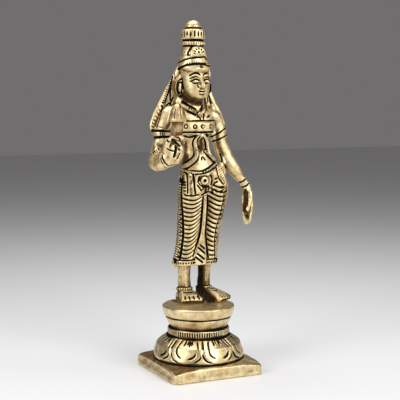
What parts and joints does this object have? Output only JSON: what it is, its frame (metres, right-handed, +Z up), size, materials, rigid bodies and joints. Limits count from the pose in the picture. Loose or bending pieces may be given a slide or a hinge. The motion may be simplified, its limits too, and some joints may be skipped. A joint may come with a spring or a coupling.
{
  "type": "parvati figure",
  "caption": "Standing brass goddess with a tall crown, a raised lotus bud and a pleated skirt, on a round lotus plinth with a square slab.",
  "frame": {"origin": "centre of the plinth's underside", "axes": "+Z up, the figure faces -Y, and its right hand is raised on the -X side"},
  "size_m": [0.0594, 0.0494, 0.178],
  "materials": {
    "figure_brass": "polished, with black and brown patina in the carving",
    "plinth_brass": "satin, with black and brown patina in the carving"
  },
  "bodies": {
    "root": {"figure": "figure_brass", "lotus_plinth": "plinth_brass"}
  },
  "joints": []
}
